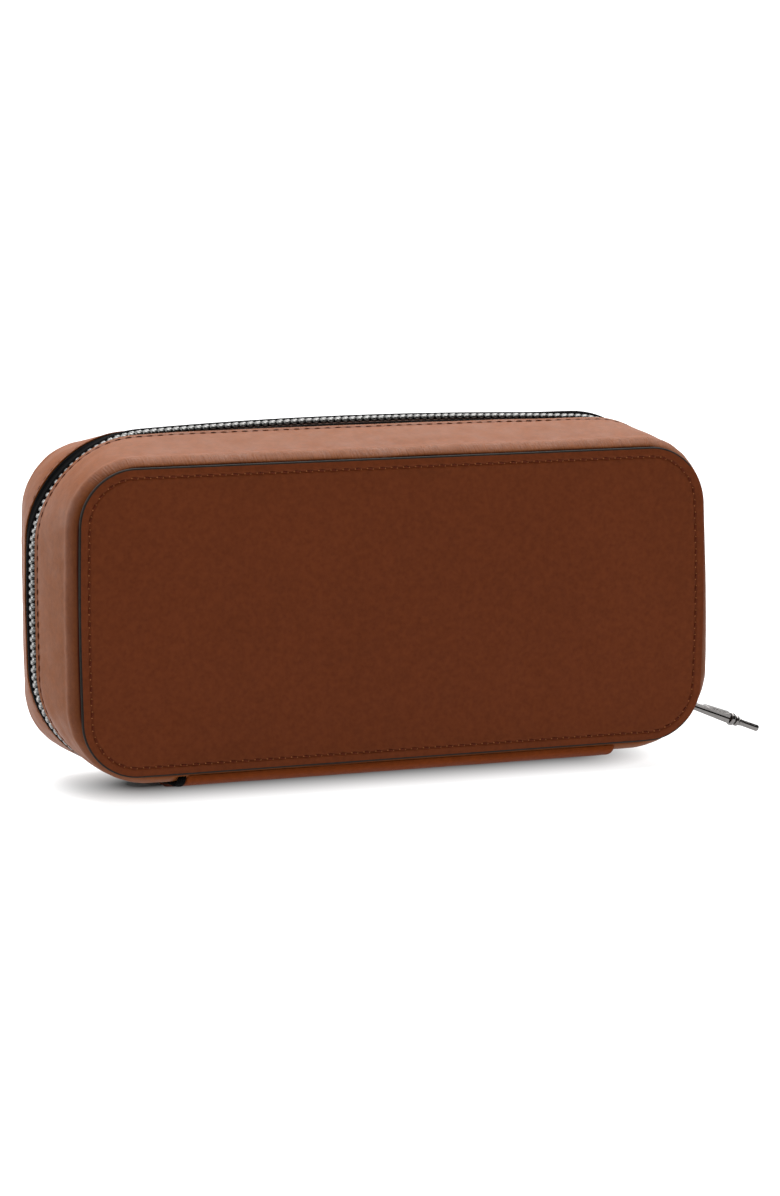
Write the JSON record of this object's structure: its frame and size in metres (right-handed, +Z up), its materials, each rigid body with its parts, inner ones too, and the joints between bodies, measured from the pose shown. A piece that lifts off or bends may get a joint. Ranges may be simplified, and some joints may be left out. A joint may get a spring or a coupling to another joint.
{
  "type": "jewellery case",
  "caption": "Hard-sided leather jewellery case that opens like a book on a leather hinge spine, closed by a metal zip round its other sides.",
  "frame": {"origin": "on the ground, at the middle of the hinge spine's flat underside, in the zip plane", "axes": "+X along the case towards the closed end of the zip, -Y out of the base's face panel, +Z up from the hinge spine"},
  "size_m": [0.246, 0.0626, 0.1111],
  "materials": {
    "wall_leather": "smooth matt leather with a fine grain",
    "panel_leather": "smooth matt leather with dark painted edges",
    "spine_leather": "smooth matt leather",
    "board": "raw fibre board",
    "suede": "soft microsuede",
    "zip_tape": "black woven tape",
    "zip_metal": "bright nickel plate",
    "gunmetal": "polished gunmetal plate"
  },
  "bodies": {
    "base": {"base_gusset": "wall_leather", "base_face_panel": "panel_leather", "base_board": "board", "base_lining": "suede", "base_zip_tape": "zip_tape", "base_zip_teeth": "zip_metal", "base_tape_tail": "zip_tape", "hinge_spine": "spine_leather", "hinge_inner_strip": "suede", "divider_long": "suede", "divider_cross": "suede", "divider_short": "suede", "ring_roll_1": "suede", "ring_roll_2": "suede", "ring_roll_3": "suede", "ring_roll_4": "suede", "ring_roll_5": "suede"},
    "lid": {"lid_gusset": "wall_leather", "lid_face_panel": "panel_leather", "lid_board": "board", "lid_lining": "suede", "lid_zip_tape": "zip_tape", "lid_zip_teeth": "zip_metal", "lid_tape_tail": "zip_tape", "necklace_tab": "wall_leather", "lid_pocket": "suede", "necklace_hook_1": "zip_metal", "necklace_hook_2": "zip_metal", "necklace_hook_3": "zip_metal", "necklace_hook_4": "zip_metal", "necklace_hook_5": "zip_metal"},
    "slider": {"slider_body": "gunmetal"},
    "puller": {"puller_link": "gunmetal", "puller_bar": "gunmetal", "puller_collar_1": "gunmetal", "puller_collar_2": "gunmetal", "puller_tip": "gunmetal"}
  },
  "joints": [
    {"name": "lid_hinge", "type": "hinge", "parent": "base", "child": "lid", "pos_m": [0, 0, 0], "axis": [-1, 0, 0], "range_deg": [0, 170], "deforming": ["hinge_spine", "hinge_inner_strip"]},
    {"name": "slider_travel", "type": "hinge", "parent": "base", "child": "slider", "pos_m": [0.07293, 0, 0.03817], "axis": [0, -1, 0], "range_deg": [0, 28]},
    {"name": "puller_pivot", "type": "hinge", "parent": "slider", "child": "puller", "pos_m": [0.1045, 0, 0.016], "axis": [0, 1, 0], "range_deg": [-61, 68]}
  ]
}
